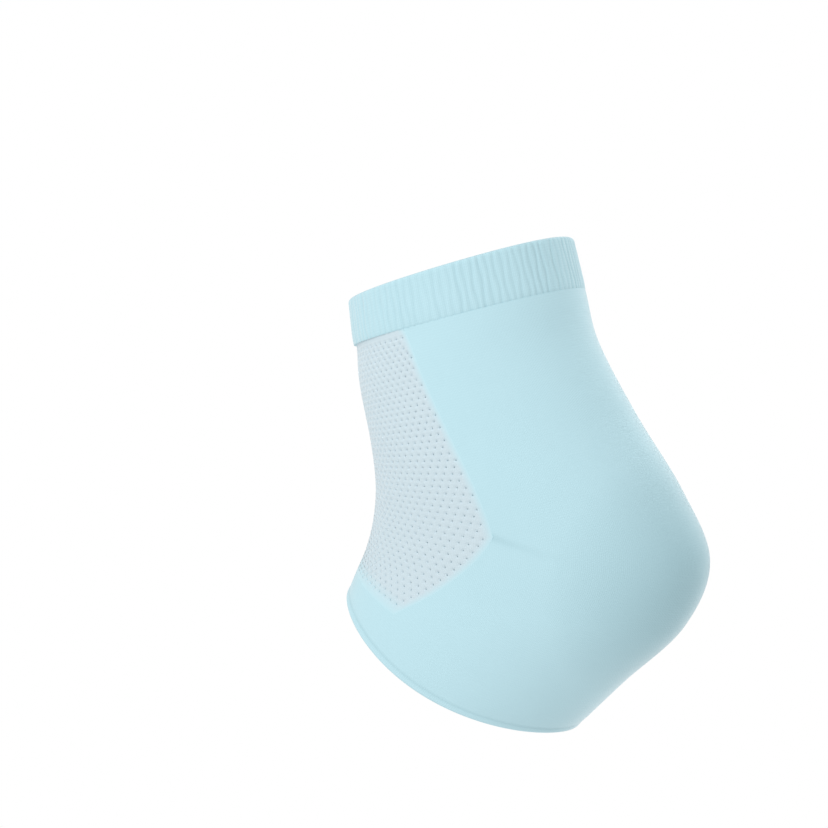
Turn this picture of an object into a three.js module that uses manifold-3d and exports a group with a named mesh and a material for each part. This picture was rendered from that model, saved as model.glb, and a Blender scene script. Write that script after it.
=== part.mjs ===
// A gel heel sock: an ankle-high sock with an open toe, knitted to the bend of the foot,
// with an eyelet panel over the instep and a soft gel pad inside the heel.
// It has the shape that it takes when it is worn.
//
// Units are millimetres. +Z runs up the leg, the toes point to -Y and the heel to +Y,
// and the left and right sides are alike in X. The origin is the middle of the ankle cuff.

import * as THREE from 'three';
import { ParametricGeometry } from 'three/addons/geometries/ParametricGeometry.js';
import { mergeVertices } from 'three/addons/utils/BufferGeometryUtils.js';
import Module from 'manifold-3d';

// The skin of the sock is lofted through oval sections, from the ankle down to the toes.
// A section lies between a front point and a back point in the plane X = 0. Its back is
// narrower than its front by the taper, and its sides bow towards the toes.
const SECTION_COLUMNS = ['frontY', 'frontZ', 'backY', 'backZ', 'halfWidth', 'backTaper', 'sideBow'];
const SECTIONS = [
  [-41.5, 7.5, 41.5, 8.5, 33.0, 0.05, 1.0], // top of the cuff
  [-43.8, -9.0, 41.5, -10.5, 33.0, 0.05, 1.0], // foot of the cuff
  [-44.8, -25.0, 41.5, -28.0, 33.5, 0.08, 0.0], // narrow of the leg
  [-45.5, -42.0, 48.5, -55.0, 34.5, 0.1, 0.0], // above the ankle bones
  [-48.0, -56.0, 58.0, -84.0, 35.5, 0.04, 0.0], // ankle bones
  [-52.5, -67.0, 61.5, -109.0, 35.0, -0.02, 1.0], // crease of the ankle to the tip of the heel
  [-58.0, -76.0, 47.2, -128.3, 34.0, -0.08, 2.0], // under the heel
  [-63.6, -83.0, 21.3, -142.2, 34.0, -0.1, 4.0], // front edge of the heel pad
  [-69.0, -89.5, 0.0, -154.1, 34.0, -0.1, 6.7], // foot opening
];
const CUFF_END_ROW = 0.95;
const LAST_ROW = SECTIONS.length - 1;

// Walls of the knit, and the clear gap that every two pieces keep.
const GAP = 0.35;
const CUFF_THICKNESS = 2.6;
const BODY_THICKNESS = 1.6;
const PANEL_THICKNESS = 1.3;
const HEM_THICKNESS = 2.4;
const HEM_WIDTH = 3.6;

// Ribs of the cuff: how many go round it, and how deep the furrow between two is.
const RIB_COUNT = 96;
const RIB_DEPTH = 0.4;

// How deep the knit is drawn in below the cuff at the front and at the back, how closely the
// deep part keeps to the front, and over how many rows it fades out.
const CUFF_TUCK_FRONT = 1.3;
const CUFF_TUCK_BACK = 0.25;
const CUFF_TUCK_FOCUS = 4;
const CUFF_TUCK_ROWS = 0.5;

// The instep panel starts at the cuff. Its border stands this far round from the middle of the
// front: it widens, ever more slowly, down to the row where the heel's gore meets it, and slants
// back in from that corner to the panel's straight end.
const PANEL_TOP_HALF_ANGLE = THREE.MathUtils.degToRad(76);
const PANEL_WIDEST_HALF_ANGLE = THREE.MathUtils.degToRad(89.5);
const PANEL_END_HALF_ANGLE = THREE.MathUtils.degToRad(64);
const PANEL_WIDEST_ROW = 4.75;
const PANEL_END_ROW = 6.95;
const PANEL_WIDENING = 0.6;

// The gel pad lies against the inside of the heel, thickest under its middle. Its gap leaves
// room for the flat facets that cut the corner on the round of the heel.
const PAD_GAP = 0.5;
const PAD_THICKNESS = 3.2;
const PAD_MIDDLE_ROW = 5.3;
const PAD_HALF_ROWS = 1.9;
const PAD_HALF_ANGLE = THREE.MathUtils.degToRad(72);
const PAD_FULLNESS = 0.55;

// How finely each piece is faceted.
const BODY_SIDES = 56;
const BODY_RINGS = 26;
const PANEL_FACETS = [20, 24];
const HEM_FACETS = 8;
const PAD_FACETS = [40, 18];
const SIDES_PER_RIB = 2;

// A small step, in radians and rows, for slopes of the skin.
const PROBE = 0.02;

const wasm = await Module();
wasm.setup();

const sectionSpline = new THREE.CubicInterpolant(
  SECTIONS.map((_, row) => row),
  SECTIONS.flat(),
  SECTION_COLUMNS.length,
);

// A point of the outer skin. Angle 0 is the back, a quarter turn the +X side, half a turn the front.
function skinPoint(angle, row) {
  const [frontY, frontZ, backY, backZ, halfWidth, backTaper, sideBow] = sectionSpline.evaluate(row);
  const reach = new THREE.Vector2(backY - frontY, backZ - frontZ).multiplyScalar(0.5);
  const toToes = new THREE.Vector2(reach.y, -reach.x).normalize();
  const bow = sideBow * Math.sin(angle) ** 2;
  return new THREE.Vector3(
    halfWidth * Math.sin(angle) * (1 - backTaper * Math.cos(angle)),
    (frontY + backY) / 2 + reach.x * Math.cos(angle) + toToes.x * bow,
    (frontZ + backZ) / 2 + reach.y * Math.cos(angle) + toToes.y * bow,
  );
}

function skinNormal(angle, row) {
  const before = Math.max(row - PROBE, 0);
  const after = Math.min(row + PROBE, LAST_ROW);
  const around = skinPoint(angle + PROBE, row).sub(skinPoint(angle - PROBE, row));
  const along = skinPoint(angle, after).sub(skinPoint(angle, before));
  return around.cross(along).normalize();
}

// A point of the wall, at a depth below the outer skin.
function wallPoint(angle, row, depth) {
  return skinPoint(angle, row).addScaledVector(skinNormal(angle, row), -depth);
}

// How deep the knit is drawn in at a row below the foot of the cuff.
function cuffTuck(angle, row) {
  const fading = Math.exp(-(((row - CUFF_END_ROW) / CUFF_TUCK_ROWS) ** 2));
  const frontness = (0.5 - 0.5 * Math.cos(angle)) ** CUFF_TUCK_FOCUS;
  return THREE.MathUtils.lerp(CUFF_TUCK_BACK, CUFF_TUCK_FRONT, frontness) * fading;
}

// Millimetres along the skin for each row, and around it for each radian.
function alongSpeed(angle, row) {
  return skinPoint(angle, row).distanceTo(skinPoint(angle, row - PROBE)) / PROBE;
}

function aroundSpeed(angle, row) {
  return skinPoint(angle + PROBE, row).distanceTo(skinPoint(angle, row)) / PROBE;
}

// The row that is a distance further towards the toes than the given row.
function rowBeyond(angle, row, distance) {
  return row + distance / alongSpeed(angle, row);
}

// A geometry with each point counted once, so that its faces close.
function welded(geometry) {
  geometry.deleteAttribute('normal');
  geometry.deleteAttribute('uv');
  return mergeVertices(geometry);
}

// Moves every point of a simple geometry to its place on the sock.
function moulded(geometry, place) {
  const position = geometry.attributes.position;
  for (let i = 0; i < position.count; i += 1) {
    const { x, y, z } = place(position.getX(i), position.getY(i), position.getZ(i));
    position.setXYZ(i, x, y, z);
  }
  return welded(geometry);
}

// A closed tube of knit. Its two edges give the row at each angle. The outline of its cut wall
// goes down the outer face and back up the inner one, in shares of the length and depths, and
// is carried round the sock.
function knitTube(startRow, endRow, outline, sides, furrow = () => 0) {
  const place = (u, v, target) => {
    const angle = 2 * Math.PI * u;
    const [share, depth] = outline[Math.round(v * outline.length) % outline.length];
    const row = THREE.MathUtils.lerp(startRow(angle), endRow(angle), share);
    target.copy(wallPoint(angle, row, depth + furrow(angle, row, depth)));
  };
  return welded(new ParametricGeometry(place, sides, outline.length));
}

// How far round from the middle of the front the panel's border stands at a row.
function panelHalfAngle(row) {
  if (row < PANEL_WIDEST_ROW) {
    const share = Math.max(0, row - CUFF_END_ROW) / (PANEL_WIDEST_ROW - CUFF_END_ROW);
    return THREE.MathUtils.lerp(PANEL_TOP_HALF_ANGLE, PANEL_WIDEST_HALF_ANGLE, share ** PANEL_WIDENING);
  }
  const share = (row - PANEL_WIDEST_ROW) / (PANEL_END_ROW - PANEL_WIDEST_ROW);
  return THREE.MathUtils.lerp(PANEL_WIDEST_HALF_ANGLE, PANEL_END_HALF_ANGLE, share);
}

// A slab in the shape of the instep panel, between two depths, spread past its border.
function panelSlab(outerDepth, innerDepth, spread) {
  const rowSpread = (row) => {
    const borderAngle = Math.PI - panelHalfAngle(Math.min(row, PANEL_END_ROW));
    return spread / alongSpeed(borderAngle, row);
  };
  const topRow = CUFF_END_ROW - rowSpread(CUFF_END_ROW);
  const endRow = PANEL_END_ROW + rowSpread(PANEL_END_ROW);
  return moulded(new THREE.BoxGeometry(1, 1, 1, ...PANEL_FACETS, 1), (x, y, z) => {
    const row = THREE.MathUtils.lerp(endRow, topRow, y + 0.5);
    const border = panelHalfAngle(Math.min(row - rowSpread(row), PANEL_END_ROW));
    const halfAngle = border + spread / aroundSpeed(Math.PI - border, row);
    const depth = THREE.MathUtils.lerp(innerDepth, outerDepth, z + 0.5);
    const angle = Math.PI - 2 * x * halfAngle;
    return wallPoint(angle, row, depth + cuffTuck(angle, row));
  });
}

function toSolid(geometry) {
  return new wasm.Manifold(new wasm.Mesh({
    numProp: 3,
    vertProperties: Float32Array.from(geometry.attributes.position.array),
    triVerts: Uint32Array.from(geometry.index.array),
  }));
}

function toGeometry(solid) {
  const { vertProperties, triVerts } = solid.getMesh();
  const geometry = new THREE.BufferGeometry();
  geometry.setAttribute('position', new THREE.BufferAttribute(vertProperties, 3));
  geometry.setIndex(new THREE.BufferAttribute(triVerts, 1));
  return geometry;
}

// The cuff: a welt of two layers whose edges are rolled in, with ribs up its outer face.
function makeCuff() {
  const rolled = CUFF_THICKNESS / 4;
  const edgeShare = 0.06;
  const outerFace = [[0, rolled], [edgeShare, 0], [1 - edgeShare, 0], [1, rolled]];
  const innerFace = [[1, CUFF_THICKNESS], [0, CUFF_THICKNESS]];
  const furrow = (angle, row, depth) =>
    depth < CUFF_THICKNESS / 2 ? RIB_DEPTH * (0.5 - 0.5 * Math.cos(RIB_COUNT * angle)) : 0;
  const endRow = (angle) => rowBeyond(angle, CUFF_END_ROW, -GAP);
  return knitTube(() => 0, endRow, [...outerFace, ...innerFace], RIB_COUNT * SIDES_PER_RIB, furrow);
}

// The body: a plain tube from the cuff to the hem, with the window for the panel cut out of it.
function makeBody() {
  const shares = Array.from({ length: BODY_RINGS + 1 }, (_, ring) => ring / BODY_RINGS);
  const outerFace = shares.map((share) => [share, 0]);
  const innerFace = shares.map((share) => [1 - share, BODY_THICKNESS]);
  const endRow = (angle) => rowBeyond(angle, LAST_ROW, -HEM_WIDTH - GAP);
  const tube = knitTube(() => CUFF_END_ROW, endRow, [...outerFace, ...innerFace], BODY_SIDES, cuffTuck);
  const window = panelSlab(-BODY_THICKNESS, 2 * BODY_THICKNESS, GAP);
  return toGeometry(toSolid(tube).subtract(toSolid(window)));
}

// The panel: its top edge starts level with the body's, a gap below the cuff.
function makePanel() {
  return panelSlab(0, PANEL_THICKNESS, 0);
}

// The hem: the edge of the foot opening, turned in so that its cut is oval.
function makeHem() {
  const oval = Array.from({ length: HEM_FACETS }, (_, i) => {
    const turn = (2 * Math.PI * i) / HEM_FACETS;
    return [(1 - Math.cos(turn)) / 2, (HEM_THICKNESS * (1 - Math.sin(turn))) / 2];
  });
  const startRow = (angle) => rowBeyond(angle, LAST_ROW, -HEM_WIDTH);
  return knitTube(startRow, () => LAST_ROW, oval, BODY_SIDES);
}

// The pad: flat against the knit on its outer face, domed towards the foot, thin at its edge.
function makePad() {
  const seat = BODY_THICKNESS + PAD_GAP;
  return moulded(new THREE.SphereGeometry(1, ...PAD_FACETS), (x, y, z) => {
    const depth = seat + PAD_THICKNESS * Math.max(0, -y) ** PAD_FULLNESS;
    return wallPoint(PAD_HALF_ANGLE * x, PAD_MIDDLE_ROW - PAD_HALF_ROWS * z, depth);
  });
}

const cuffKnit = new THREE.MeshStandardMaterial({ color: '#bfe0e9', roughness: 0.95, metalness: 0 });
const plainKnit = new THREE.MeshStandardMaterial({ color: '#bce0ea', roughness: 0.93, metalness: 0 });
const eyeletKnit = new THREE.MeshStandardMaterial({ color: '#cfe0e7', roughness: 0.9, metalness: 0 });
const hemKnit = new THREE.MeshStandardMaterial({ color: '#b9dbe6', roughness: 0.95, metalness: 0 });
const softGel = new THREE.MeshStandardMaterial({ color: '#d3e6ea', roughness: 0.35, metalness: 0 });

const PIECES = {
  cuff: [makeCuff, cuffKnit],
  knit_body: [makeBody, plainKnit],
  instep_mesh: [makePanel, eyeletKnit],
  foot_hem: [makeHem, hemKnit],
  gel_heel_pad: [makePad, softGel],
};

const group = new THREE.Group();
for (const [name, [make, material]] of Object.entries(PIECES)) {
  const piece = new THREE.Mesh(make(), material);
  piece.name = name;
  group.add(piece);
}

export default group;
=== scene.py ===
import math

import bpy
import numpy as np
from mathutils import Matrix, Vector


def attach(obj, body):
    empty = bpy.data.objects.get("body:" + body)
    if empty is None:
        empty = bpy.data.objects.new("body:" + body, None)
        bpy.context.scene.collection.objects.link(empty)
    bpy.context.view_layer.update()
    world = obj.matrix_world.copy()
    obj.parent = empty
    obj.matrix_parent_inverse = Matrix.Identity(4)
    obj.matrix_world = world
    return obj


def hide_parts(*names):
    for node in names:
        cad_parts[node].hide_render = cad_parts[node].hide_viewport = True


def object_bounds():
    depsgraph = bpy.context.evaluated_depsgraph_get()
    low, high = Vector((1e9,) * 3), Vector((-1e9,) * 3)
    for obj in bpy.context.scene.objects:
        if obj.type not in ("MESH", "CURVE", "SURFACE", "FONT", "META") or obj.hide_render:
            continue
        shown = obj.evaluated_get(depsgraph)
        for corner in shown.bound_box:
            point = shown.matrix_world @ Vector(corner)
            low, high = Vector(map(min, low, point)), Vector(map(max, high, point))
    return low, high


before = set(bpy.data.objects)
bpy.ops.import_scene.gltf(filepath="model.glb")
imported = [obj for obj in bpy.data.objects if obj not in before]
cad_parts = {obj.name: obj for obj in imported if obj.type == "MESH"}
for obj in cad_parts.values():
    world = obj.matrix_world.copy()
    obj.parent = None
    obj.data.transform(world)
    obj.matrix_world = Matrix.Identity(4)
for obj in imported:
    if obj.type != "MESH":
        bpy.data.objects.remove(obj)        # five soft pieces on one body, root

cad_low, cad_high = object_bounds()

# Sizes are in millimetres, as a knitter gives them, and turn to metres when a mesh is made.
MM = 0.001

# The skin of the sock is lofted through oval sections, from the ankle down to the toes. A section
# lies between a front point and a back point in the plane X = 0. Its back is narrower than its
# front by the taper, and its sides bow towards the toes.
# Columns: front_y, front_z, back_y, back_z, half_width, back_taper, side_bow.
SECTIONS = np.array([
    [-41.5, 7.5, 41.5, 8.5, 33.0, 0.05, 1.0],  # top of the cuff
    [-43.8, -9.0, 41.5, -10.5, 33.0, 0.05, 1.0],  # foot of the cuff
    [-44.8, -25.0, 41.5, -28.0, 33.5, 0.08, 0.0],  # narrow of the leg
    [-45.5, -42.0, 48.5, -55.0, 34.5, 0.1, 0.0],  # above the ankle bones
    [-48.0, -56.0, 58.0, -84.0, 35.5, 0.04, 0.0],  # ankle bones
    [-52.5, -67.0, 61.5, -109.0, 35.0, -0.02, 1.0],  # crease of the ankle to the tip of the heel
    [-58.0, -76.0, 47.2, -128.3, 34.0, -0.08, 2.0],  # under the heel
    [-63.6, -83.0, 21.3, -142.2, 34.0, -0.1, 4.0],  # front edge of the heel pad
    [-69.0, -89.5, 0.0, -154.1, 34.0, -0.1, 6.7],  # foot opening
])
CUFF_END_ROW = 0.95
LAST_ROW = len(SECTIONS) - 1.0
PROBE = 0.02  # a small step, in radians and rows, for slopes of the skin
RUN_STEPS = 400  # steps of a run that is measured down the skin
TURN_STEPS = 1200  # and of one that is measured round it
WALE_STEPS = 2000  # steps of the table that finds the wale at a place round the sock

# Walls of the knit.
CUFF_THICKNESS = 2.6
BODY_THICKNESS = 1.6
PANEL_THICKNESS = 1.3
HEM_THICKNESS = 2.2
HEM_WIDTH = 3.6
ROLL_FACETS = 8  # facets of a rolled edge, from the outer face to the inner one

# Ribs of the cuff: how many, how deep the furrows are and how much painted shade darkens them, how much
# one differs from the next, and how far it strays sideways, in ribs. Each wave of that sway goes round the
# cuff so many times, and climbs by one radian over so many millimetres.
RIB_COUNT = 96
RIB_DEPTH = 0.26
RIB_PAINTED_SHADE = 0.2
RIB_UNEVENNESS = 0.4
RIB_SEED = 7
RIB_SWAY = 0.07
RIB_WAVES = [(23, 3.0), (41, -2.0)]

# The mesh of the cuff: columns for each rib, lines down each face, and the lengths of the rounded
# ends at its top and its foot.
RIB_STEPS = 8
CUFF_LINES = 26
CUFF_ROLLS = (1.3, 0.0)

# The hem's line of stitches: how far down the hem it is, how deep and wide, and how much painted shade
# darkens it.
HEM_LINE = 1.0
HEM_LINE_DEPTH = 0.1
HEM_LINE_WIDTH = 0.6
HEM_LINE_PAINTED_SHADE = 0.3

# The mesh of the hem: columns round it, lines down each face, and the lengths of the rounded ends
# at its seam and its edge.
HEM_SIDES = 280
HEM_LINES = 14
HEM_ROLLS = (0.0, 0.9)

# The instep panel's border: how far round from the middle of the front it stands. It widens down
# to the row where the gore meets it, fast at first, by a power of the way there, and slants back
# in from that corner to the straight end.
PANEL_TOP_HALF_ANGLE = math.radians(76)
PANEL_WIDEST_HALF_ANGLE = math.radians(89.5)
PANEL_END_HALF_ANGLE = math.radians(64)
PANEL_WIDEST_ROW = 4.75
PANEL_END_ROW = 6.95
PANEL_WIDENING = 0.6

# Eyelets of the panel, in staggered lines. Their pitch holds at one row, and the space between
# two lines holds on one wale. Knit nearer than the margin to the border isn't pierced. Each hole
# lies in a round hollow. Its three rings of points, from the outside in, take these shares of the
# hollow's depth.
EYELET_PITCH = 3.4
EYELET_ROW = 4.0
EYELET_LINE = 1.9
EYELET_WALE = math.radians(135)
EYELET_MARGIN = 0.2
EYELET_RADIUS = 0.2
EYELET_HOLLOW = 0.9
EYELET_DEPTH = 0.5
DEPTH_SHARES = (0.0, 0.15, 1.0)
PANEL_FADE = 2.5  # how far in from the border the blue yarn runs out
PANEL_END_FADE = 6.0  # and how far up from the end

# The body: columns across its back, below the panel's slanted sides and below its end, and lines
# of the sole, from there to the hem.
BODY_COLUMNS = 132
SIDE_COLUMNS = 20
END_COLUMNS = 90
SOLE_LINES = 16

# The gore, a line of narrowed stitches that turns the heel. From the corner of the panel it bends
# down to its own row at the back, and it fades out on the way, both by a power of the way across.
GORE_ROW = 5.1
GORE_BEND = 4
GORE_DEPTH = 0.08
GORE_WIDTH = 1.4
# How much painted shade darkens the gore's groove.
GORE_PAINTED_SHADE = 0.35
GORE_FADE = 8.0

# How deep the knit is drawn in below the cuff at the front and at the back, how closely the deep
# part keeps to the front, and over how many rows it fades out.
CUFF_TUCK_FRONT = 1.3
CUFF_TUCK_BACK = 0.25
CUFF_TUCK_FOCUS = 4
CUFF_TUCK_ROWS = 0.5

# How far the foot of the cuff is rounded off and the knit is drawn in at the hem's seam, over what
# width, and how strong and wide the painted shadow along the foot of the cuff is.
CUFF_ROUNDING = 0.2
HEM_TUCK = 0.12
TUCK_WIDTH = 1.6
CUFF_SEAM_PAINTED_SHADOW = 0.3
CUFF_SEAM_SHADOW_WIDTH = 0.5

# The gel pad against the inside of the heel: how thick it is in its middle and at its edge, how
# clear of the knit it lies, its middle and its reach, and the power of its dome. The smaller that
# is, the flatter the dome.
PAD_THICKNESS = 3.2
PAD_EDGE = 0.6
PAD_CLEARANCE = 0.1
PAD_SEAT = BODY_THICKNESS + PAD_CLEARANCE
PAD_MIDDLE_ROW = 5.3
PAD_HALF_ROWS = 1.9
PAD_HALF_ANGLE = math.radians(72)
PAD_FULLNESS = 0.275
PAD_CELLS = 72  # cells along each side of its mesh
PAINTED_HEEL_SHADE = 0.62  # how much painted shade darkens the knit over the gel pad's area

# One stitch of the plain knit. A real one is about 0.8 mm wide and 0.6 mm tall, which is too fine
# to show in the picture, so it is drawn half as coarse again.
WALE = 1.2
COURSE = 0.9
STITCH_HEIGHT = 0.12
LOOP_SHARE = 0.3  # how much of a stitch's height its loops make, beside its two legs
MELANGE = 6.0  # size of the faint clouds in the dyed yarn
MELANGE_SHARE = 0.35

# The gel: size of the clouds in it, size and height of the grain of its skin, and how deep light
# sinks in.
GEL_CLOUD = 9.0
GEL_GRAIN = 0.8
GEL_GRAIN_HEIGHT = 0.1
GEL_SINK = 2.5

# Colours of the dyed yarn and of that yarn in painted shade, of the gel and of the floor's paint, in sRGB.
BLUE = "#c1e3ec"
# The hollow blue is painted shade between the stitches.
BLUE_SHADED_HOLLOW = "#abd0da"
# The blue yarn in painted shade, for the furrows, grooves, the cuff's foot and the heel.
BLUE_SHADED = "#9cbfc8"
PALE = "#cfdfe6"
# The hollow pale is painted shade between the panel's stitches.
PALE_SHADED_HOLLOW = "#bbced7"
GEL_MILKY = "#e2f0f2"
GEL_CLEARER = "#c3dde3"
PAINT = "#fafafa"
PAINT_DULL = "#f4f4f4"

WELD = 0.002  # points closer than this are one point
SHARP_EDGE = math.radians(55)  # an edge that bends more than this isn't smoothed

# The picture's camera, with its angles in degrees, and how far beside and above the middle of the
# cuff it aims.
VIEW_AZIMUTH = 114.25
VIEW_ELEVATION = -6.28
VIEW_TILT = 15.0
VIEW_DISTANCE = 793.5
AIM_RIGHT = -17.9
AIM_UP = -42.1
LENS = 100.0
SENSOR = 36.0

# The lights: how far to the right of the sock, above it and towards the camera each one stands, and
# its size, both in metres, and its watts.
WINDOW_PLACE = (-0.3, 0.75, 0.6)
WINDOW_SIZE = 0.9
WINDOW_WATTS = 4.6
EDGE_PLACE = (0.82, 0.2, -0.55)
EDGE_SIZE = 0.7
EDGE_WATTS = 5.8

# The room: how bright its dim and its bright side are, and where the bright side lies, measured as
# the lights are.
ROOM_DIM = 0.45
ROOM_BRIGHT = 1.06
BRIGHT_SIDE = (-0.6, -0.8, 0.1)

# The floor below the sock: its height, half its width, the size of the patches in its paint, and
# how much it glows.
FLOOR_HEIGHT = -950.0
FLOOR_HALF = 1200.0
PAINT_PATCH = 300.0
FLOOR_GLOW = 0.6

# Places of the sockets of a colour mix.
MIX_SHARE, MIX_FROM, MIX_TO, MIX_COLOUR = 0, 6, 7, 2


def section_at(row):
    """The columns of the section table at any row, on a smooth curve through its rows."""
    before = 2 * SECTIONS[:1] - SECTIONS[1:2]
    after = 2 * SECTIONS[-1:] - SECTIONS[-2:-1]
    table = np.concatenate([before, SECTIONS, after])
    row = np.clip(row, 0, LAST_ROW)
    first = np.minimum(row.astype(int), len(SECTIONS) - 2)
    f = (row - first)[..., None]
    a, b, c, d = (table[first + k] for k in range(4))
    return b + 0.5 * f * (c - a + f * (2 * a - 5 * b + 4 * c - d + f * (3 * b - a - 3 * c + d)))


def skin(angle, row):
    """Points of the outer skin. Angle 0 is the back, a quarter turn the +X side, half a turn the front."""
    front_y, front_z, back_y, back_z, half_width, taper, bow = np.moveaxis(section_at(row), -1, 0)
    reach_y = (back_y - front_y) / 2
    reach_z = (back_z - front_z) / 2
    sag = bow * np.sin(angle) ** 2 / np.hypot(reach_y, reach_z)
    x = half_width * np.sin(angle) * (1 - taper * np.cos(angle))
    y = (front_y + back_y) / 2 + reach_y * np.cos(angle) + reach_z * sag
    z = (front_z + back_z) / 2 + reach_z * np.cos(angle) - reach_y * sag
    return np.stack([x, y, z], axis=-1)


def wall(angle, row, depth):
    """Points of the wall at a depth below the outer skin."""
    around = skin(angle + PROBE, row) - skin(angle - PROBE, row)
    along = skin(angle, np.minimum(row + PROBE, LAST_ROW)) - skin(angle, np.maximum(row - PROBE, 0))
    normal = np.cross(around, along)
    normal /= np.linalg.norm(normal, axis=-1, keepdims=True)
    return skin(angle, row) - normal * np.asarray(depth)[..., None]


def run_along(angle, row):
    """How far each point of a patch lies from the patch's first line, down its columns."""
    steps = np.linalg.norm(np.diff(skin(angle, row), axis=0), axis=-1)
    return np.concatenate([np.zeros((1, angle.shape[1])), np.cumsum(steps, axis=0)])


def even_rows(start, end):
    """Rows of the lines of eyelets and of the middles between them, even along one wale."""
    row = np.linspace(start, end, RUN_STEPS)
    run = run_along(np.full((len(row), 1), EYELET_WALE), row[:, None])[:, 0]
    lines = round(run[-1] / EYELET_LINE)
    return np.interp(np.linspace(0, run[-1], 2 * lines + 1), run, row)


def hem_row(angle):
    """The row where the body ends and the hem starts."""
    last = np.full_like(angle, LAST_ROW)
    speed = np.linalg.norm(skin(angle, last) - skin(angle, last - PROBE), axis=-1) / PROBE
    return last - HEM_WIDTH / speed


def panel_half_angle(row):
    """How far round from the middle of the front the panel's border stands."""
    upper = np.clip((row - CUFF_END_ROW) / (PANEL_WIDEST_ROW - CUFF_END_ROW), 0, 1)
    lower = np.clip((row - PANEL_WIDEST_ROW) / (PANEL_END_ROW - PANEL_WIDEST_ROW), 0, 1)
    widening = (PANEL_WIDEST_HALF_ANGLE - PANEL_TOP_HALF_ANGLE) * upper ** PANEL_WIDENING
    narrowing = (PANEL_WIDEST_HALF_ANGLE - PANEL_END_HALF_ANGLE) * lower
    return PANEL_TOP_HALF_ANGLE + widening - narrowing


def arc_from_back(angle):
    """How far round the sock a wale lies from the middle of the back, at the eyelets' own row."""
    turn = np.linspace(-math.pi, 2 * math.pi, TURN_STEPS)
    arc = run_along(turn[:, None], np.full((len(turn), 1), EYELET_ROW))[:, 0]
    return np.interp(angle, turn, arc - np.interp(0, turn, arc))


def dip(distance, depth, width):
    """The depth of a soft groove at a distance from its middle."""
    return depth * np.exp(-(distance / width) ** 2)


def cuff_tuck(angle, row):
    """How deep the knit is drawn in at a row below the foot of the cuff."""
    frontness = (0.5 - 0.5 * np.cos(angle)) ** CUFF_TUCK_FOCUS
    depth = CUFF_TUCK_BACK + (CUFF_TUCK_FRONT - CUFF_TUCK_BACK) * frontness
    return dip(row - CUFF_END_ROW, depth, CUFF_TUCK_ROWS)


def painted_heel_shade(angle, row):
    """The painted shade on the knit over the gel pad, darkest in its middle and fading to the edge of the
    pad.
    """
    across = angle / PAD_HALF_ANGLE
    along = (row - PAD_MIDDLE_ROW) / PAD_HALF_ROWS
    return PAINTED_HEEL_SHADE * np.clip(1 - across ** 2 - along ** 2, 0, 1)


def grid_faces(lines, columns):
    """Four-cornered faces of a grid of points, facing outwards."""
    number = np.arange(lines * columns).reshape(lines, columns)
    corners = [number[:-1, :-1], number[:-1, 1:], number[1:, 1:], number[1:, :-1]]
    return np.stack(corners, axis=-1).reshape(-1, 4)


def patch(angle, row, relief, course, painted_shade_and_blue, faces=None):
    """A patch of knit: its places on the skin, how deep its face lies, and the stitch at each point."""
    angle, row, relief, course, painted_shade_and_blue = np.broadcast_arrays(angle, row, relief, course, painted_shade_and_blue)
    # The stitch's third value is painted shade, or on the eyelet panel the share of blue yarn.
    stitch = np.stack([arc_from_back(angle) / WALE, course / COURSE, painted_shade_and_blue], axis=-1)
    return {
        "angle": angle.ravel(),
        "row": row.ravel(),
        "relief": relief.ravel(),
        "stitch": stitch.reshape(-1, 3),
        "faces": grid_faces(*angle.shape) if faces is None else faces,
    }


def sewn(patches):
    """Patches joined where their points meet, as one face of knit with a stitch at each corner."""
    starts = np.cumsum([0] + [len(p["angle"]) for p in patches[:-1]])
    faces = np.concatenate([p["faces"] + start for p, start in zip(patches, starts)])
    keys = ("angle", "row", "relief", "stitch")
    angle, row, relief, stitch = (np.concatenate([p[key] for p in patches]) for key in keys)
    first, same = joined(skin(angle, row))
    whole = distinct(same[faces]).sum(axis=1) >= 3
    return {
        "angle": angle[first],
        "row": row[first],
        "relief": relief[first],
        "faces": same[faces[whole]],
        "stitch": stitch[faces[whole]],
    }


def distinct(faces):
    """Which corners of each face differ from the corner before."""
    return faces != np.roll(faces, 1, axis=1)


def joined(points):
    """The first point of each place, and for every point the number of its place."""
    places = np.round(points / WELD).astype(np.int64)
    _, first, same = np.unique(places, axis=0, return_index=True, return_inverse=True)
    return first, same.reshape(-1)


def free_edges(faces, stitch):
    """The edges that only one face has, and the stitches at their ends."""
    edges = np.stack([faces, np.roll(faces, -1, axis=1)], axis=-1).reshape(-1, 2)
    ends = np.stack([stitch, np.roll(stitch, -1, axis=1)], axis=2).reshape(-1, 2, 3)
    real = edges[:, 0] != edges[:, 1]
    edges, ends = edges[real], ends[real]
    _, group, uses = np.unique(np.sort(edges), axis=0, return_inverse=True, return_counts=True)
    free = uses[group.reshape(-1)] == 1
    return edges[free], ends[free]


def shell(name, face, inner_depth):
    """A closed wall of knit: an outer face, an inner one, and the rims that join them."""
    count = len(face["angle"])
    outer = wall(face["angle"], face["row"], face["relief"])
    inner = wall(face["angle"], face["row"], np.broadcast_to(inner_depth, count))
    edges, ends = free_edges(face["faces"], face["stitch"])
    rims = np.concatenate([edges[:, ::-1], edges + count], axis=1)
    rim_stitch = np.concatenate([ends[:, ::-1], ends], axis=1)
    faces = np.concatenate([face["faces"], face["faces"][:, ::-1] + count, rims])
    stitch = np.concatenate([face["stitch"], face["stitch"][:, ::-1], rim_stitch])
    return piece_from(name, np.concatenate([outer, inner]), faces, stitch)


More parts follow.
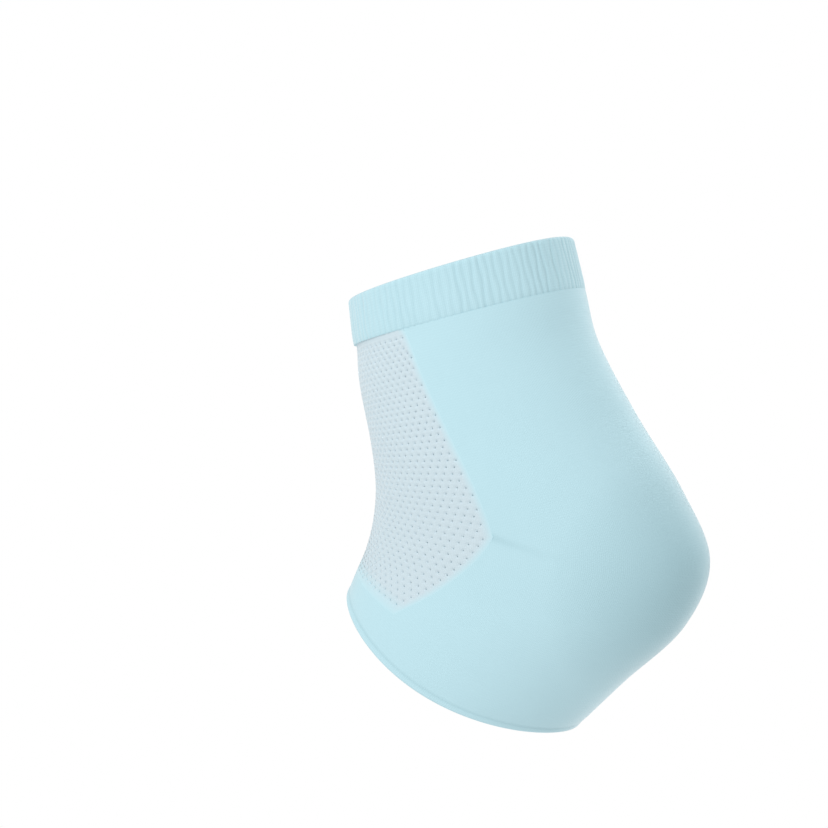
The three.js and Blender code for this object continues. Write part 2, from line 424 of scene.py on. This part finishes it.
def piece_from(name, points, faces, stitch):
    """A smooth mesh from points, faces of three or four corners and the stitch at each corner."""
    kept = distinct(faces)
    used, numbers = np.unique(faces[kept], return_inverse=True)
    sizes = kept.sum(axis=1)
    mesh = bpy.data.meshes.new(name)
    mesh.vertices.add(len(used))
    mesh.vertices.foreach_set("co", (points[used] * MM).astype(np.float32).ravel())
    mesh.loops.add(len(numbers))
    mesh.loops.foreach_set("vertex_index", numbers.reshape(-1).astype(np.int32))
    mesh.polygons.add(len(faces))
    mesh.polygons.foreach_set("loop_start", (np.cumsum(sizes) - sizes).astype(np.int32))
    mesh.polygons.foreach_set("use_smooth", np.ones(len(faces), dtype=bool))
    mesh.update(calc_edges=True)
    layer = mesh.attributes.new("stitch", "FLOAT_VECTOR", "CORNER")
    layer.data.foreach_set("vector", stitch[kept].astype(np.float32).ravel())
    mesh.set_sharp_from_angle(angle=SHARP_EDGE)
    piece = bpy.data.objects.new(name, mesh)
    bpy.context.collection.objects.link(piece)
    return piece


def rolled_band(name, turn, start_row, end_row, thickness, rolls, lines, relief):
    """A band of two layers round the sock. Relief gives the furrows of its outer face and their painted
    shade.

    Rolls are the lengths of the rounded ends of the cut, at the start and at the end.
    """
    length = np.linalg.norm(skin(turn, end_row) - skin(turn, start_row), axis=-1)
    start_roll, end_roll = rolls
    half = thickness / 2
    bend = np.linspace(0, math.pi, ROLL_FACETS + 1)[1:-1]
    down = np.linspace(0, 1, lines)
    outline = [(share, 0.0, 0.0) for share in down]
    outline += [(1.0, end_roll * math.sin(b), half - half * math.cos(b)) for b in bend]
    outline += [(share, 0.0, thickness) for share in down[::-1]]
    outline += [(0.0, -start_roll * math.sin(b), half + half * math.cos(b)) for b in bend]
    share, past, depth = np.array(outline + outline[:1]).T[..., None]
    along = start_roll + share * (length - start_roll - end_roll) + past
    row = start_row + (end_row - start_row) * along / length
    outer = np.clip(1 - depth / half, 0, 1)
    angle = np.broadcast_to(turn, row.shape)
    furrow, painted_shade_and_blue = relief(angle, along, length - along)
    points = wall(angle, row, depth + outer * furrow).reshape(-1, 3)
    wales = RIB_COUNT * angle / math.pi  # two to a rib
    stitch = np.stack([wales, (along + depth) / COURSE, outer * painted_shade_and_blue], axis=-1).reshape(-1, 3)
    first, same = joined(points)
    faces = grid_faces(*row.shape)
    return piece_from(name, points[first], same[faces], stitch[faces])


def make_cuff():
    """The cuff: a welt with uneven ribs up its outer face."""
    turn = np.linspace(0, 2 * math.pi, RIB_COUNT * RIB_STEPS + 1)
    draw = np.random.default_rng(RIB_SEED).uniform(-1, 1, RIB_COUNT)
    strength = 1 + RIB_UNEVENNESS * draw[np.arange(len(turn)) // RIB_STEPS % RIB_COUNT]

    def relief(angle, from_top, to_seam):
        stray = sum(np.sin(count * angle + from_top / climb) for count, climb in RIB_WAVES)
        groove = strength * (1 - np.abs(np.cos(RIB_COUNT * angle / 2 + math.pi * RIB_SWAY * stray)))
        depth = RIB_DEPTH * groove + dip(to_seam, CUFF_ROUNDING, TUCK_WIDTH)
        # Painted shade darkens the furrows, and a painted shadow darkens the foot of the cuff along its
        # seam.
        return depth, RIB_PAINTED_SHADE * groove + dip(to_seam, CUFF_SEAM_PAINTED_SHADOW, CUFF_SEAM_SHADOW_WIDTH)

    top = np.zeros_like(turn)
    end = np.full_like(turn, CUFF_END_ROW)
    return rolled_band("ribbed_cuff", turn, top, end, CUFF_THICKNESS, CUFF_ROLLS, CUFF_LINES, relief)


def make_hem():
    """The hem: the knit turned in along the foot opening, with a line of stitches along its top."""
    turn = np.linspace(0, 2 * math.pi, HEM_SIDES + 1)

    def relief(angle, from_seam, to_edge):
        line = dip(from_seam - HEM_LINE, 1.0, HEM_LINE_WIDTH)
        # Painted shade darkens the groove of the line of stitches.
        return HEM_LINE_DEPTH * line + dip(from_seam, HEM_TUCK, TUCK_WIDTH), HEM_LINE_PAINTED_SHADE * line

    end = np.full_like(turn, LAST_ROW)
    return rolled_band("turned_hem", turn, hem_row(turn), end, HEM_THICKNESS, HEM_ROLLS, HEM_LINES, relief)


def halved(rows):
    """Rows with one more in the middle of every two, as a column."""
    return np.interp(np.arange(0, len(rows) - 0.5, 0.5), np.arange(len(rows)), rows)[:, None]


def make_body(upper_rows, lower_rows):
    """The body: plain jersey in three patches, the leg above the gore, the heel below it, and the sole.

    Points of the heel that would stand in the panel's window are drawn back to its border.
    """
    # The leg, from the cuff to the gore, with its columns spread between the panel's borders.
    corner = math.pi - PANEL_WIDEST_HALF_ANGLE
    across = np.linspace(-1, 1, BODY_COLUMNS + 1)
    gore = GORE_ROW - (GORE_ROW - PANEL_WIDEST_ROW) * across ** GORE_BEND
    fading = np.abs(across) ** GORE_FADE
    lines = halved(upper_rows)
    share = (lines - CUFF_END_ROW) / (PANEL_WIDEST_ROW - CUFF_END_ROW)
    row = CUFF_END_ROW + share * (gore - CUFF_END_ROW)
    angle = across * (math.pi - panel_half_angle(lines))
    run = run_along(angle, row)
    groove = dip(run[-1:] - run, 1.0, GORE_WIDTH) * fading
    relief = GORE_DEPTH * groove + cuff_tuck(angle, row)
    # Painted shade darkens the gore's groove and the heel over the gel pad.
    leg = patch(angle, row, relief, run, GORE_PAINTED_SHADE * groove + painted_heel_shade(angle, row))

    # The sole, all round from the panel's end to the hem.
    end = math.pi - PANEL_END_HALF_ANGLE
    sides = np.linspace(corner, end, SIDE_COLUMNS + 1)[1:]
    front = np.linspace(end, 2 * math.pi - end, END_COLUMNS + 1)[1:]
    columns = np.concatenate([-sides[::-1], corner * across, sides])
    angle = np.tile(np.concatenate([columns, front]), (SOLE_LINES + 1, 1))
    step = np.linspace(0, 1, SOLE_LINES + 1)[:, None]
    row = PANEL_END_ROW + step * (hem_row(angle) - PANEL_END_ROW)
    run = run_along(angle, row)
    to_hem = run[-1:] - run
    # The sole takes the heel's painted shade where the pad reaches it.
    sole = patch(angle, row, dip(to_hem, HEM_TUCK, TUCK_WIDTH), -to_hem, painted_heel_shade(angle, row))

    # The heel, from the gore to the sole, with its stitches counted on from those of the sole.
    share = (halved(lower_rows) - PANEL_WIDEST_ROW) / (PANEL_END_ROW - PANEL_WIDEST_ROW)
    gore = np.pad(gore, SIDE_COLUMNS, mode="edge")
    row = gore + share * (PANEL_END_ROW - gore)
    column = np.tile(columns, (len(row), 1))
    limit = math.pi - panel_half_angle(row)
    run = run_along(column, row)
    groove = dip(run, 1.0, GORE_WIDTH) * np.pad(fading, SIDE_COLUMNS, mode="edge")
    from_hem = run - run[-1:] - to_hem[0, :len(columns)]
    angle = np.clip(column, -limit, limit)
    # Painted shade darkens the gore's groove and the heel over the gel pad.
    heel = patch(angle, row, GORE_DEPTH * groove, from_hem, GORE_PAINTED_SHADE * groove + painted_heel_shade(angle, row))
    face = sewn([leg, heel, sole])
    return shell("jersey_body", face, BODY_THICKNESS + cuff_tuck(face["angle"], face["row"]))


def make_panel(rows):
    """The panel: eyelets pierced in staggered lines, with plain knit left along its border.

    Points stand on a lattice of half pitches and half lines. Those beyond the border are drawn in to it.
    """
    turn = np.linspace(0, 2 * math.pi, WALE_STEPS)
    front = arc_from_back(np.array(math.pi))
    border_arc = arc_from_back(np.array(math.pi - PANEL_WIDEST_HALF_ANGLE))
    half_count = 2 * math.ceil((front - border_arc) / EYELET_PITCH + 1)
    arcs = front + EYELET_PITCH / 2 * np.arange(-half_count, half_count + 1)
    column = np.tile(np.interp(arcs, arc_from_back(turn), turn), (len(rows), 1))
    row = np.tile(rows[:, None], (1, len(arcs)))
    half_angle = panel_half_angle(row)
    angle = math.pi + np.clip(column - math.pi, -half_angle, half_angle)
    run = run_along(column, row)
    inside = (half_angle - np.abs(column - math.pi)) * front / math.pi
    clear = inside > EYELET_MARGIN
    blue = np.clip(1 - np.minimum(inside / PANEL_FADE, (run[-1:] - run) / PANEL_END_FADE), 0, 1)
    lattice = patch(angle, row, cuff_tuck(angle, row), run, blue)

    # The middle of every cell, half a cell on in every second line, and the eight points round it.
    line, place = np.meshgrid(np.arange(len(rows) // 2), np.arange(1, len(arcs) - 2, 2), indexing="ij")
    middle_line = (2 * line + 1).ravel()
    middle = middle_line * len(arcs) + (place + line % 2).ravel()
    around = [(-1, -1), (-1, 0), (-1, 1), (0, 1), (1, 1), (1, 0), (1, -1), (0, -1)]
    border = np.stack([middle + i * len(arcs) + j for i, j in around], axis=1)
    pierced = clear.ravel()[border].all(axis=1) & (middle_line > 1) & (middle_line < len(rows) - 2)

    # A cell that isn't pierced has four faces round its middle.
    b, m = border[~pierced].T, middle[~pierced]
    quarters = [(b[0], b[1], m, b[7]), (b[1], b[2], b[3], m), (m, b[3], b[4], b[5]), (b[7], m, b[5], b[6])]
    lattice["faces"] = np.concatenate([np.stack(quarter, axis=1) for quarter in quarters])

    # A pierced cell has three rings: its border, the edge of the hollow and the edge of the hole.
    b, m = border[pierced], middle[pierced][:, None]
    points = skin(lattice["angle"], lattice["row"])
    reach = np.linalg.norm(points[b] - points[m], axis=-1)
    shares = np.stack([np.ones_like(reach), EYELET_HOLLOW / reach, EYELET_RADIUS / reach], axis=1)
    depth = EYELET_DEPTH * np.array(DEPTH_SHARES)[None, :, None]

    def ringed(values):
        return values[m][:, None] + shares * (values[b] - values[m])[:, None]

    number = np.arange(shares.size).reshape(shares.shape)
    outer, inner = number[:, :-1], number[:, 1:]
    quads = np.stack([outer, np.roll(outer, -1, axis=2), np.roll(inner, -1, axis=2), inner], axis=-1)
    ring_angle, ring_row, ring_relief = (ringed(lattice[key]) for key in ("angle", "row", "relief"))
    ring_run, ring_blue = ringed(run.ravel()), ringed(blue.ravel())
    rings = patch(ring_angle, ring_row, ring_relief + depth, ring_run, ring_blue, quads.reshape(-1, 4))
    face = sewn([lattice, rings])
    return shell("eyelet_panel", face, PANEL_THICKNESS + cuff_tuck(face["angle"], face["row"]))


def make_pad():
    """The gel pad: even against the knit, domed towards the foot, thin at its edge."""
    side = np.linspace(-1, 1, PAD_CELLS + 1)
    v, u = np.meshgrid(side, side, indexing="ij")
    x = u * np.sqrt(1 - v ** 2 / 2)
    y = v * np.sqrt(1 - u ** 2 / 2)
    dome = np.clip(1 - x ** 2 - y ** 2, 0, 1) ** PAD_FULLNESS
    thickness = PAD_EDGE + (PAD_THICKNESS - PAD_EDGE) * dome
    face = patch(PAD_HALF_ANGLE * x, PAD_MIDDLE_ROW + PAD_HALF_ROWS * y, PAD_SEAT, 0.0, 0.0)
    face["stitch"] = face["stitch"][face["faces"]]
    return shell("gel_heel_cup", face, PAD_SEAT + thickness.ravel())


def linear(hex_colour):
    """A linear colour from an sRGB hex value."""
    channels = [int(hex_colour[i:i + 2], 16) / 255 for i in (1, 3, 5)]
    return [c / 12.92 if c <= 0.04045 else ((c + 0.055) / 1.055) ** 2.4 for c in channels] + [1.0]


def add_node(tree, kind, inputs, **settings):
    """Adds a node with its settings. Each input is a value, or the output socket that feeds it."""
    node = tree.nodes.new(kind)
    for name, value in settings.items():
        setattr(node, name, value)
    for name, value in inputs.items():
        if isinstance(value, bpy.types.NodeSocket):
            tree.links.new(value, node.inputs[name])
        else:
            node.inputs[name].default_value = value
    return node


def new_material(name):
    """An empty material and its node tree."""
    material = bpy.data.materials.new(name)
    material.use_nodes = True
    material.node_tree.nodes.clear()
    return material, material.node_tree


def knit_material(name, yarn, shaded_hollow, shaded_and_border_blue, contrast):
    """Knitted cotton and elastane: soft and matt, in rows of V stitches, with a faint bloom at its edges.

    Hollow is the yarn in painted shade between the stitches. The third colour is what the stitch's third
    value mixes in: the yarn in painted shade, or on the eyelet panel the body's blue yarn near its border.
    Contrast is how much of the way from yarn to hollow the stitches span.
    """
    material, tree = new_material(name)
    stitch = add_node(tree, "ShaderNodeAttribute", {}, attribute_name="stitch").outputs["Vector"]
    wale, course, painted_shade_and_blue = add_node(tree, "ShaderNodeSeparateXYZ", {0: stitch}).outputs

    leg = add_node(tree, "ShaderNodeMath", {0: wale, 1: 0.5}, operation="PINGPONG").outputs[0]
    bow = add_node(tree, "ShaderNodeMath", {0: leg, 1: 2 * math.pi}, operation="MULTIPLY").outputs[0]
    round_leg = add_node(tree, "ShaderNodeMath", {0: bow}, operation="SINE").outputs[0]
    climb = add_node(tree, "ShaderNodeMath", {0: course, 1: leg}, operation="ADD").outputs[0]
    turn = add_node(tree, "ShaderNodeMath", {0: climb, 1: 2 * math.pi}, operation="MULTIPLY").outputs[0]
    wave = add_node(tree, "ShaderNodeMath", {0: turn}, operation="COSINE").outputs[0]
    shared = {0: wave, 1: LOOP_SHARE, 2: 1 - LOOP_SHARE}
    loop = add_node(tree, "ShaderNodeMath", shared, operation="MULTIPLY_ADD").outputs[0]
    height = add_node(tree, "ShaderNodeMath", {0: round_leg, 1: loop}, operation="MULTIPLY").outputs[0]

    place = add_node(tree, "ShaderNodeTexCoord", {}).outputs["Object"]
    cloud = {"Vector": place, "Scale": 1 / (MELANGE * MM), "Detail": 3.0}
    melange = add_node(tree, "ShaderNodeTexNoise", cloud).outputs[0]
    mixed = {0: melange, 1: MELANGE_SHARE, 2: height}
    uneven = add_node(tree, "ShaderNodeMath", mixed, operation="MULTIPLY_ADD").outputs[0]
    span = {"Value": uneven, "From Max": 1 + MELANGE_SHARE / 2, "To Min": 1 - contrast}
    light = add_node(tree, "ShaderNodeMapRange", span).outputs[0]
    # The knit's colour runs from the yarn on the stitches to painted shade in the hollows between them,
    # with faint clouds of dye from the melange.
    knit = {MIX_SHARE: light, MIX_FROM: linear(shaded_hollow), MIX_TO: linear(yarn)}
    plain = add_node(tree, "ShaderNodeMix", knit, data_type="RGBA").outputs[MIX_COLOUR]
    # The stitch's third value mixes in the yarn in painted shade, or on the panel the body's blue yarn
    # near its border.
    shaded_and_bordered = {MIX_SHARE: painted_shade_and_blue, MIX_FROM: plain, MIX_TO: linear(shaded_and_border_blue)}
    colour = add_node(tree, "ShaderNodeMix", shaded_and_bordered, data_type="RGBA").outputs[MIX_COLOUR]

    relief = {"Height": height, "Strength": 0.4, "Distance": STITCH_HEIGHT * MM}
    normal = add_node(tree, "ShaderNodeBump", relief).outputs[0]
    surface = {
        "Base Color": colour,
        "Roughness": 0.92,
        "IOR": 1.45,
        "Specular IOR Level": 0.15,
        "Sheen Weight": 0.6,
        "Sheen Roughness": 0.4,
        "Normal": normal,
    }
    cloth = add_node(tree, "ShaderNodeBsdfPrincipled", surface).outputs[0]
    add_node(tree, "ShaderNodeOutputMaterial", {"Surface": cloth})
    return material


def gel_material():
    """Moulded polymer gel: milky, so that light sinks in and softens its edges, with a satin skin."""
    material, tree = new_material("moulded_polymer_gel")
    place = add_node(tree, "ShaderNodeTexCoord", {}).outputs["Object"]
    cloud = {"Vector": place, "Scale": 1 / (GEL_CLOUD * MM), "Detail": 2.0}
    milk = add_node(tree, "ShaderNodeTexNoise", cloud).outputs[0]
    clouded = {MIX_SHARE: milk, MIX_FROM: linear(GEL_CLEARER), MIX_TO: linear(GEL_MILKY)}
    colour = add_node(tree, "ShaderNodeMix", clouded, data_type="RGBA").outputs[MIX_COLOUR]
    satin = {"Value": milk, "To Min": 0.28, "To Max": 0.42}
    roughness = add_node(tree, "ShaderNodeMapRange", satin).outputs[0]
    fine = {"Vector": place, "Scale": 1 / (GEL_GRAIN * MM)}
    grain = add_node(tree, "ShaderNodeTexNoise", fine).outputs[0]
    relief = {"Height": grain, "Strength": 0.2, "Distance": GEL_GRAIN_HEIGHT * MM}
    normal = add_node(tree, "ShaderNodeBump", relief).outputs[0]
    surface = {
        "Base Color": colour,
        "Roughness": roughness,
        "IOR": 1.43,
        "Subsurface Weight": 0.5,
        "Subsurface Radius": (1.0, 1.2, 1.3),
        "Subsurface Scale": GEL_SINK * MM,
        "Normal": normal,
    }
    gel = add_node(tree, "ShaderNodeBsdfPrincipled", surface).outputs[0]
    add_node(tree, "ShaderNodeOutputMaterial", {"Surface": gel})
    return material


def dress(piece, material, node):
    """Gives a piece its material, and puts it in the place of its solid."""
    piece.data.materials.append(material)
    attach(piece, "root")
    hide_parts(node)


def aimed(offset, target, up):
    """A place and turn that look at a target from an offset, with up towards the top."""
    back = Vector(offset).normalized()
    right = Vector(up).cross(back).normalized()
    turn = Matrix([right, back.cross(right), back]).transposed().to_4x4()
    return Matrix.Translation(Vector(target) + Vector(offset)) @ turn


def make_camera():
    """The picture's camera: to the side, a little behind and below the ankle, and tilted.

    Gives the matrix that turns places beside, above and towards the camera to those of the part.
    """
    azimuth, elevation, tilt = (math.radians(a) for a in (VIEW_AZIMUTH, VIEW_ELEVATION, VIEW_TILT))
    level = math.cos(elevation)
    towards = Vector((level * math.sin(azimuth), -level * math.cos(azimuth), math.sin(elevation)))
    up = Vector((0, math.sin(tilt), math.cos(tilt)))
    right = up.cross(towards).normalized()
    target = (AIM_RIGHT * right + AIM_UP * up) * MM
    data = bpy.data.cameras.new("camera")
    data.lens = LENS
    data.sensor_width = SENSOR
    camera = bpy.data.objects.new("camera", data)
    camera.matrix_world = aimed(towards * VIEW_DISTANCE * MM - target, target, up)
    bpy.context.collection.objects.link(camera)
    bpy.context.scene.camera = camera
    return Matrix([right, up, towards]).transposed()


def make_softbox(name, offset, size, watts):
    """A large soft light that looks at the sock."""
    data = bpy.data.lights.new(name, "AREA")
    data.shape = "DISK"
    data.size = size
    data.energy = watts
    lamp = bpy.data.objects.new(name, data)
    middle = (Vector(cad_low) + Vector(cad_high)) / 2
    lamp.matrix_world = aimed(offset, middle, (0, 0, 1))
    lamp.visible_camera = False
    bpy.context.collection.objects.link(lamp)


def make_room(bright_side):
    """A white room, brighter on one side, which the camera sees as plain white."""
    world = bpy.data.worlds.new("white_room")
    bpy.context.scene.world = world
    world.use_nodes = True
    tree = world.node_tree
    tree.nodes.clear()
    white = (1, 1, 1, 1)
    towards = add_node(tree, "ShaderNodeTexCoord", {}).outputs["Generated"]
    facing = {0: towards, 1: bright_side.normalized()}
    share = add_node(tree, "ShaderNodeVectorMath", facing, operation="DOT_PRODUCT").outputs["Value"]
    span = {"Value": share, "From Min": -1.0, "To Min": ROOM_DIM, "To Max": ROOM_BRIGHT}
    strength = add_node(tree, "ShaderNodeMapRange", span).outputs[0]
    walls = add_node(tree, "ShaderNodeBackground", {"Color": white, "Strength": strength}).outputs[0]
    seen = add_node(tree, "ShaderNodeBackground", {"Color": white, "Strength": 1.0}).outputs[0]
    ray = add_node(tree, "ShaderNodeLightPath", {}).outputs["Is Camera Ray"]
    both = add_node(tree, "ShaderNodeMixShader", {0: ray, 1: walls, 2: seen}).outputs[0]
    add_node(tree, "ShaderNodeOutputWorld", {"Surface": both})


def make_floor():
    """A plain pale floor, well below the sock, which is held up by its cuff."""
    half = FLOOR_HALF * MM
    corners = [(-half, -half, 0), (half, -half, 0), (half, half, 0), (-half, half, 0)]
    mesh = bpy.data.meshes.new("floor")
    mesh.from_pydata(corners, [], [(0, 1, 2, 3)])
    # Matt paint: pale and faintly patchy, without shine.
    material, tree = new_material("matt_paint")
    place = add_node(tree, "ShaderNodeTexCoord", {}).outputs["Object"]
    patches = {"Vector": place, "Scale": 1 / (PAINT_PATCH * MM)}
    patchy = add_node(tree, "ShaderNodeTexNoise", patches).outputs[0]
    paint = {MIX_SHARE: patchy, MIX_FROM: linear(PAINT_DULL), MIX_TO: linear(PAINT)}
    colour = add_node(tree, "ShaderNodeMix", paint, data_type="RGBA").outputs[MIX_COLOUR]
    surface = {
        "Base Color": colour,
        "Roughness": 0.9,
        "Emission Color": (1, 1, 1, 1),
        "Emission Strength": FLOOR_GLOW,
    }
    shader = add_node(tree, "ShaderNodeBsdfPrincipled", surface).outputs[0]
    add_node(tree, "ShaderNodeOutputMaterial", {"Surface": shader})
    mesh.materials.append(material)
    floor = bpy.data.objects.new("floor", mesh)
    floor.location.z = FLOOR_HEIGHT * MM
    floor.visible_diffuse = False
    bpy.context.collection.objects.link(floor)


view = make_camera()
make_room(view @ Vector(BRIGHT_SIDE))
make_softbox("window_light", view @ Vector(WINDOW_PLACE), WINDOW_SIZE, WINDOW_WATTS)
make_softbox("edge_light", view @ Vector(EDGE_PLACE), EDGE_SIZE, EDGE_WATTS)
make_floor()
bpy.context.scene.view_settings.view_transform = "Standard"

upper_rows = even_rows(CUFF_END_ROW, PANEL_WIDEST_ROW)
lower_rows = even_rows(PANEL_WIDEST_ROW, PANEL_END_ROW)
cuff = make_cuff()
body = make_body(upper_rows, lower_rows)
panel = make_panel(np.concatenate([upper_rows, lower_rows[1:]]))
hem = make_hem()
pad = make_pad()

rib_knit = knit_material("rib_knit_cotton", BLUE, BLUE_SHADED_HOLLOW, BLUE_SHADED, contrast=0.5)
plain_jersey = knit_material("plain_jersey_cotton", BLUE, BLUE_SHADED_HOLLOW, BLUE_SHADED, contrast=0.4)
eyelet_knit = knit_material("eyelet_knit_cotton", PALE, PALE_SHADED_HOLLOW, BLUE, contrast=0.5)
hem_knit = knit_material("turned_hem_cotton", BLUE, BLUE_SHADED_HOLLOW, BLUE_SHADED, contrast=0.4)
dress(cuff, rib_knit, "cuff")
dress(body, plain_jersey, "knit_body")
dress(panel, eyelet_knit, "instep_mesh")
dress(hem, hem_knit, "foot_hem")
dress(pad, gel_material(), "gel_heel_pad")
